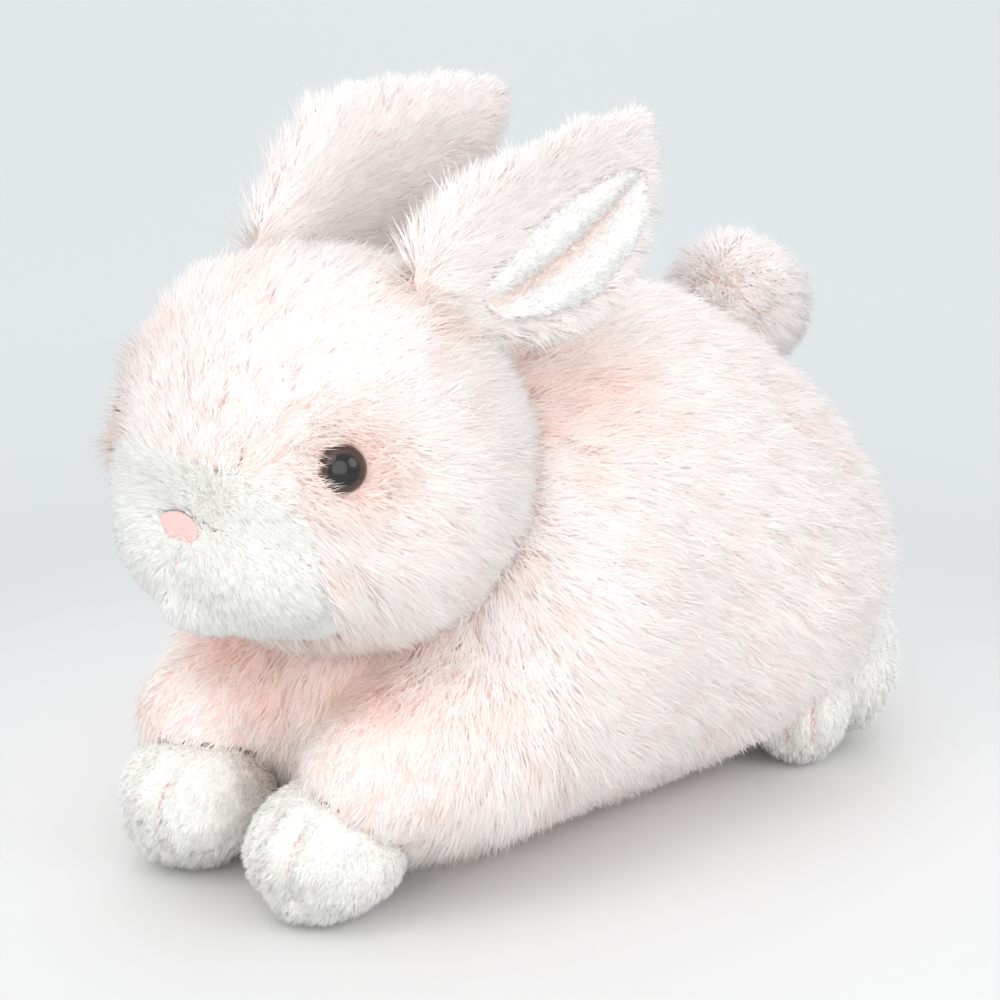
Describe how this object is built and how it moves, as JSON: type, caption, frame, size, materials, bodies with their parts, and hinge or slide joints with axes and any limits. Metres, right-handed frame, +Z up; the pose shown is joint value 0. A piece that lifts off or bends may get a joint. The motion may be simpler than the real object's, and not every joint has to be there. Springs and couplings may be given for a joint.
{
  "type": "stuffed bunny rabbit",
  "caption": "Soft plush bunny lying on its belly, pale pink long pile with white muzzle, paws and ear linings, upright laid-back ears and a pom tail.",
  "frame": {"origin": "middle of the toy's plan outline, on the plane it rests on", "axes": "+Z up, the bunny looks along -Y, its own left side is +X"},
  "size_m": [0.122, 0.2249, 0.1848],
  "materials": {
    "pink_pile": "long soft pile",
    "white_pile": "short dense pile",
    "wadding": "loose fibre",
    "pink_thread": "matte thread",
    "nose_cloth": "flocked",
    "eye_plastic": "polished",
    "washer_plastic": "moulded",
    "belly_cloth": "short soft pile"
  },
  "bodies": {
    "torso": {"torso_cover_left": "pink_pile", "torso_cover_right": "pink_pile", "torso_stuffing": "wadding", "belly_panel": "belly_cloth", "closing_seam": "pink_thread"},
    "neck": {"neck_stuffing": "wadding"},
    "head": {"head_cover_left": "pink_pile", "head_cover_right": "pink_pile", "head_crown_gusset": "pink_pile", "head_stuffing": "wadding", "muzzle_cover": "white_pile", "chin_patch": "white_pile", "nose": "nose_cloth", "mouth_stitch": "pink_thread", "eye_left": "eye_plastic", "eye_right": "eye_plastic", "eye_washer_left": "washer_plastic", "eye_washer_right": "washer_plastic"},
    "ear_left": {"ear_outer_left": "pink_pile", "ear_lining_left": "white_pile"},
    "ear_right": {"ear_outer_right": "pink_pile", "ear_lining_right": "white_pile"},
    "foreleg_left": {"foreleg_sleeve_left": "pink_pile", "forepaw_cover_left": "white_pile", "foreleg_stuffing_left": "wadding", "forepaw_toe_stitch_inner_left": "pink_thread", "forepaw_toe_stitch_outer_left": "pink_thread"},
    "foreleg_right": {"foreleg_sleeve_right": "pink_pile", "forepaw_cover_right": "white_pile", "foreleg_stuffing_right": "wadding", "forepaw_toe_stitch_inner_right": "pink_thread", "forepaw_toe_stitch_outer_right": "pink_thread"},
    "hind_foot_left": {"hind_foot_cover_left": "white_pile", "hind_foot_stuffing_left": "wadding", "hind_toe_stitch_inner_left": "pink_thread", "hind_toe_stitch_outer_left": "pink_thread"},
    "hind_foot_right": {"hind_foot_cover_right": "white_pile", "hind_foot_stuffing_right": "wadding", "hind_toe_stitch_inner_right": "pink_thread", "hind_toe_stitch_outer_right": "pink_thread"},
    "tail": {"tail_cover": "pink_pile", "tail_stuffing": "wadding"}
  },
  "joints": [
    {"name": "head_turn", "type": "hinge", "parent": "torso", "child": "neck", "pos_m": [0, -0.0516, 0.091], "axis": [0, -0.7071, 0.7071], "range_deg": [-12, 12], "stiffness_Nm_per_rad": 0.3},
    {"name": "head_nod", "type": "hinge", "parent": "neck", "child": "head", "pos_m": [0, -0.0516, 0.091], "axis": [1, 0, 0], "range_deg": [-4, 8], "stiffness_Nm_per_rad": 0.5},
    {"name": "ear_left_flap", "type": "hinge", "parent": "head", "child": "ear_left", "pos_m": [0.027, -0.0526, 0.145], "axis": [0.1393, 0.4091, -0.9018], "range_deg": [-4, 12], "stiffness_Nm_per_rad": 0.05},
    {"name": "ear_right_flap", "type": "hinge", "parent": "head", "child": "ear_right", "pos_m": [-0.027, -0.0526, 0.145], "axis": [0.1425, -0.4557, 0.8786], "range_deg": [-4, 12], "stiffness_Nm_per_rad": 0.05},
    {"name": "foreleg_left_swing", "type": "hinge", "parent": "torso", "child": "foreleg_left", "pos_m": [0.034, -0.0476, 0.038], "axis": [0, 0, 1], "range_deg": [-3, 8], "stiffness_Nm_per_rad": 0.2},
    {"name": "foreleg_right_swing", "type": "hinge", "parent": "torso", "child": "foreleg_right", "pos_m": [-0.034, -0.0476, 0.038], "axis": [0, 0, -1], "range_deg": [-3, 8], "stiffness_Nm_per_rad": 0.2},
    {"name": "hind_foot_left_flex", "type": "hinge", "parent": "torso", "child": "hind_foot_left", "pos_m": [0.034, 0.0744, 0.023], "axis": [0, 0, 1], "range_deg": [-4, 6], "stiffness_Nm_per_rad": 0.2},
    {"name": "hind_foot_right_flex", "type": "hinge", "parent": "torso", "child": "hind_foot_right", "pos_m": [-0.034, 0.0744, 0.023], "axis": [0, 0, -1], "range_deg": [-4, 6], "stiffness_Nm_per_rad": 0.2},
    {"name": "tail_bend", "type": "hinge", "parent": "torso", "child": "tail", "pos_m": [0, 0.0804, 0.101], "axis": [1, 0, 0], "range_deg": [-10, 10], "stiffness_Nm_per_rad": 0.05}
  ]
}
